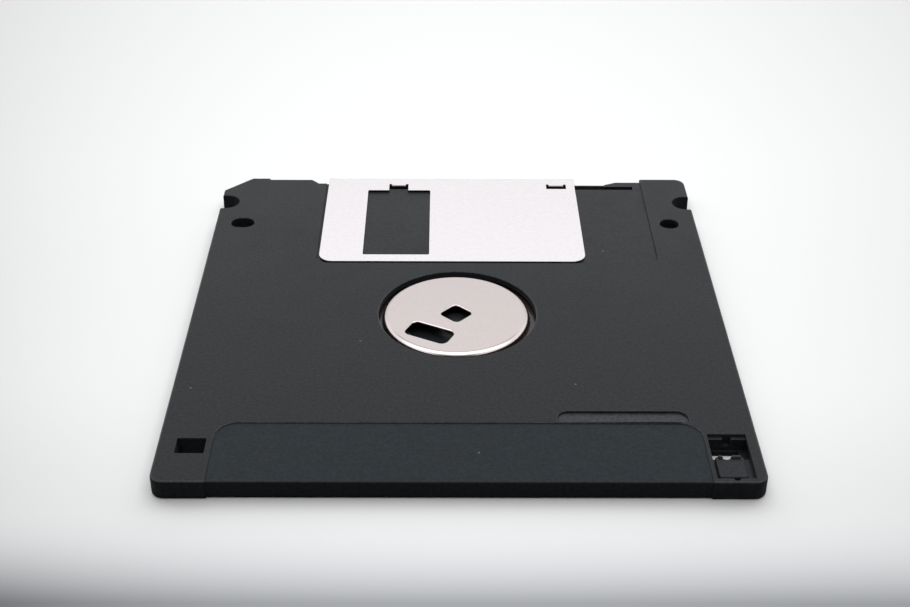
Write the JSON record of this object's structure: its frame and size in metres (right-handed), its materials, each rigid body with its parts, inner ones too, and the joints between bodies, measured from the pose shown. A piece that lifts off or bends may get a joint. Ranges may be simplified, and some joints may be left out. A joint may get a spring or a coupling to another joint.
{
  "type": "3.5-inch floppy disk",
  "caption": "Square flat disk cartridge with a sliding metal shutter, a steel hub, a write-protect slider and a film disk in a two-part plastic case.",
  "frame": {"origin": "centre of the case's footprint, on the surface that its label side lies on", "axes": "+X to the right seen from the hub side with the shutter away from the viewer, +Y towards the shutter end, +Z out of the hub side"},
  "size_m": [0.09, 0.094, 0.0034],
  "materials": {
    "case_plastic": "fine matt grain, moulded",
    "slider_plastic": "smooth, moulded",
    "liner_fabric": "thin non-woven",
    "leaf_film": "smooth film",
    "spring_wire": "drawn wire",
    "magnetic_film": "smooth coated film",
    "hub_steel": "satin, bright at the rolled rim",
    "adhesive": "thin film",
    "shutter_metal": "finely brushed along its width"
  },
  "bodies": {
    "case": {"hub_side_shell": "case_plastic", "label_side_shell": "case_plastic", "hub_side_liner": "liner_fabric", "label_side_liner": "liner_fabric", "liner_lifter": "leaf_film", "shutter_spring": "spring_wire"},
    "disk": {"magnetic_disk": "magnetic_film", "hub": "hub_steel", "hub_adhesive_ring": "adhesive"},
    "shutter": {"shutter": "shutter_metal"},
    "slider": {"write_protect_slider": "slider_plastic"}
  },
  "joints": [
    {"name": "shutter_slide", "type": "slide", "parent": "case", "child": "shutter", "axis": [1, 0, 0], "range_m": [0, 0.0125], "stiffness_N_per_m": 30, "springref_m": -0.015, "deforming": ["shutter_spring"]},
    {"name": "disk_spin", "type": "hinge", "parent": "case", "child": "disk", "pos_m": [-0.0002, -0.0018, 0.0017], "axis": [0, 0, 1], "continuous": true},
    {"name": "write_protect_slide", "type": "slide", "parent": "case", "child": "slider", "axis": [0, 1, 0], "range_m": [0, 0.004]}
  ]
}
